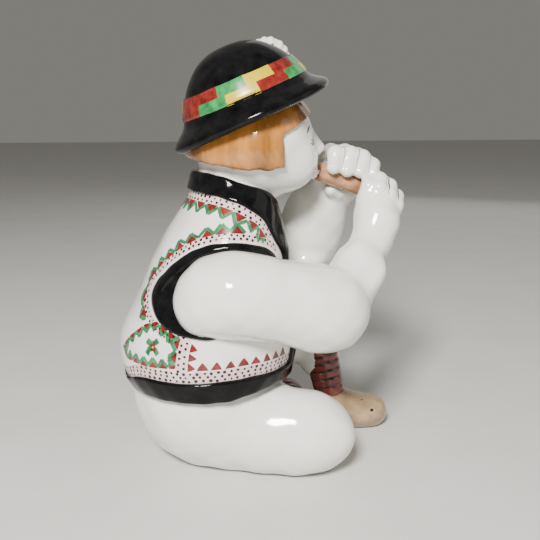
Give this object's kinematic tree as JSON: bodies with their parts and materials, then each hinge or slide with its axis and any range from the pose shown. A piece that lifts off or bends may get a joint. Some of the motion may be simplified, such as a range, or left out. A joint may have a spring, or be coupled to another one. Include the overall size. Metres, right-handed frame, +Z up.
{
  "type": "souvenir figurine",
  "caption": "Glazed porcelain figurine of a seated boy in a brimmed hat, vest and wrapped leggings, playing a short pipe held in both hands.",
  "frame": {"origin": "middle of the overall box, on the plane the figure stands on", "axes": "+X the way the boy faces, +Y his left, +Z up"},
  "size_m": [0.1071, 0.0912, 0.1492],
  "materials": {
    "white_glaze": "clear gloss glaze over white porcelain",
    "black_glaze": "glossy black enamel",
    "hair_enamel": "orange-brown enamel brushed in streaks",
    "band_enamel": "red, green and yellow enamel blocks on white",
    "wrap_enamel": "brick-red enamel with black lines",
    "shoe_enamel": "thin tan enamel",
    "pipe_enamel": "thin brown enamel"
  },
  "bodies": {
    "root": {"seat_shell": "white_glaze", "left_trouser_leg": "white_glaze", "vest": "white_glaze", "shirt_front": "white_glaze", "neck_trim": "black_glaze", "hem_trim": "black_glaze", "armhole_trim_right": "black_glaze", "armhole_trim_left": "black_glaze", "head": "white_glaze", "hair": "hair_enamel", "hat": "black_glaze", "hat_band": "band_enamel", "hat_plume": "white_glaze", "right_sleeve": "white_glaze", "left_sleeve": "white_glaze", "right_hand": "white_glaze", "left_hand": "white_glaze", "pipe": "pipe_enamel", "right_leg_wrap": "wrap_enamel", "left_leg_wrap": "wrap_enamel", "right_shoe": "shoe_enamel", "left_shoe": "shoe_enamel"}
  },
  "joints": []
}
